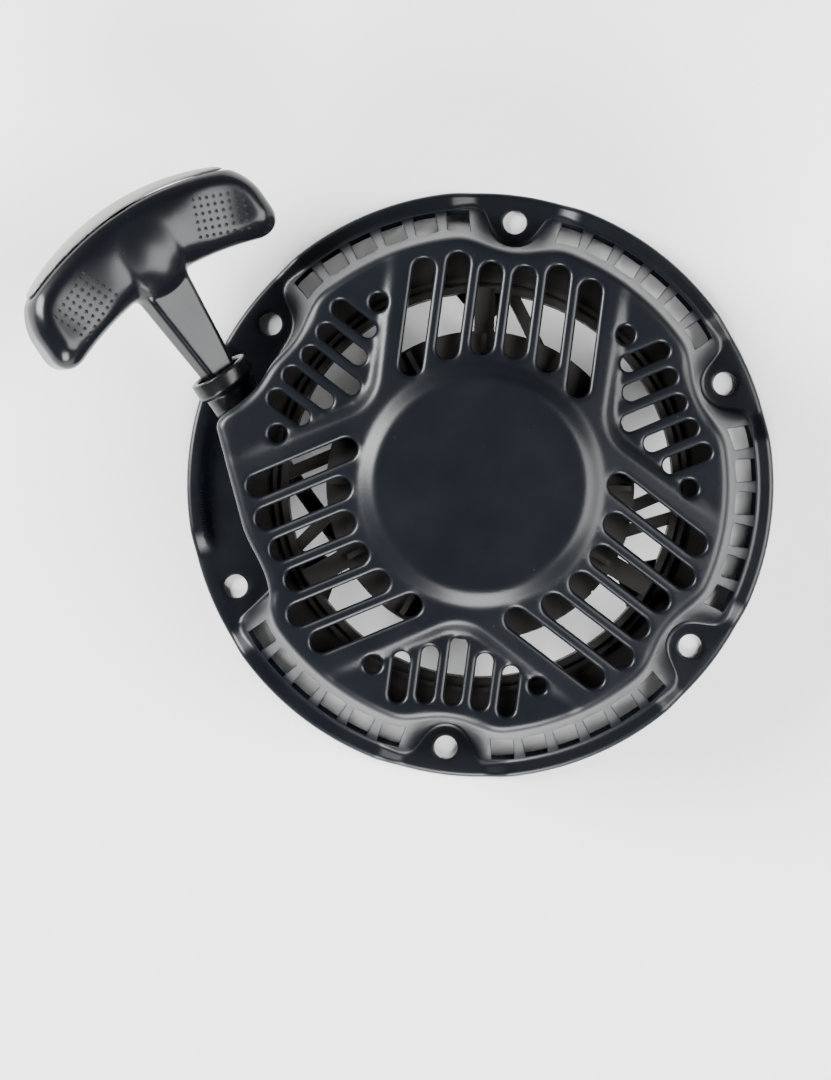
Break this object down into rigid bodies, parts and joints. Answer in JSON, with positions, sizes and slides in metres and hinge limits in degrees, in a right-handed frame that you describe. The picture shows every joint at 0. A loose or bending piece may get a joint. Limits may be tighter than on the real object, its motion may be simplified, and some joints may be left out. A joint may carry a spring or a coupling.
{
  "type": "recoil starter",
  "caption": "Pull-rope recoil starter for a small engine: round vented black steel cover with a bolt flange, sprung rope reel with ratchets inside, and a T grip.",
  "frame": {"origin": "centre of the bolt circle, on the flange's back face", "axes": "+Z along the reel's axis, away from the engine; the rope leaves towards -X +Y"},
  "size_m": [0.2298, 0.1904, 0.0606],
  "materials": {
    "cover_paint": "semi-gloss black enamel on pressed steel",
    "plain_steel": "turned mild steel",
    "zinc_steel": "bright zinc plate",
    "spring_steel": "blued spring steel",
    "ratchet_steel": "sintered steel, lightly oiled",
    "bush_bronze": "sintered bronze",
    "frame_plastic": "moulded black nylon, fine texture",
    "reel_plastic": "moulded glass-filled nylon",
    "guide_plastic": "moulded black acetal",
    "grip_plastic": "satin black moulded plastic with raised dots",
    "cap_plastic": "satin dark moulded plastic",
    "rope_braid": "black braided nylon cord"
  },
  "bodies": {
    "housing": {"cover": "cover_paint", "centre_post": "plain_steel", "inner_frame": "frame_plastic", "frame_tabs": "plain_steel", "frame_screws": "zinc_steel", "rope_guide": "guide_plastic", "screw_collar": "plain_steel", "centre_screw": "zinc_steel", "recoil_spring": "spring_steel", "rope_run": "rope_braid"},
    "reel": {"reel": "reel_plastic", "reel_bush": "bush_bronze", "rope_coil": "rope_braid", "reel_knot": "rope_braid", "ratchet_spring_1": "spring_steel", "ratchet_spring_2": "spring_steel"},
    "ratchet_guide": {"ratchet_guide": "zinc_steel", "friction_spring": "spring_steel"},
    "ratchet_1": {"ratchet_1": "ratchet_steel"},
    "ratchet_2": {"ratchet_2": "ratchet_steel"},
    "rope_end": {"rope_tail": "rope_braid", "knot_washer": "zinc_steel", "grip_knot": "rope_braid"},
    "grip": {"grip_body": "grip_plastic", "grip_cap": "cap_plastic"}
  },
  "joints": [
    {"name": "handle_pull", "type": "slide", "parent": "housing", "child": "rope_end", "axis": [-0.519, 0.8147, 0.2588], "range_m": [0, 0.9], "stiffness_N_per_m": 20, "springref_m": -0.3, "deforming": ["recoil_spring"]},
    {"name": "grip_twist", "type": "hinge", "parent": "rope_end", "child": "grip", "pos_m": [-0.08017, 0.03501, 0.02748], "axis": [-0.519, 0.8147, 0.2588], "continuous": true},
    {"name": "reel_spin", "type": "hinge", "parent": "housing", "child": "reel", "pos_m": [0, 0, 0], "axis": [0, 0, 1], "range_deg": [-1260, 0]},
    {"name": "ratchet_guide_turn", "type": "hinge", "parent": "reel", "child": "ratchet_guide", "pos_m": [0, 0, 0], "axis": [0, 0, 1], "range_deg": [0, 22]},
    {"name": "ratchet_1_swing", "type": "hinge", "parent": "reel", "child": "ratchet_1", "pos_m": [0.021, 0, 0], "axis": [0, 0, 1], "range_deg": [0, 28.8], "stiffness_Nm_per_rad": 0.01, "springref_deg": -17.19},
    {"name": "ratchet_2_swing", "type": "hinge", "parent": "reel", "child": "ratchet_2", "pos_m": [-0.021, 0, 0], "axis": [0, 0, 1], "range_deg": [0, 28.8], "stiffness_Nm_per_rad": 0.01, "springref_deg": -17.19}
  ],
  "couplings": [
    {"joint": "reel_spin", "follows": "handle_pull", "rad_per_m": -24.05},
    {"joint": "ratchet_1_swing", "follows": "ratchet_guide_turn", "ratio": 1.3},
    {"joint": "ratchet_2_swing", "follows": "ratchet_guide_turn", "ratio": 1.3}
  ]
}
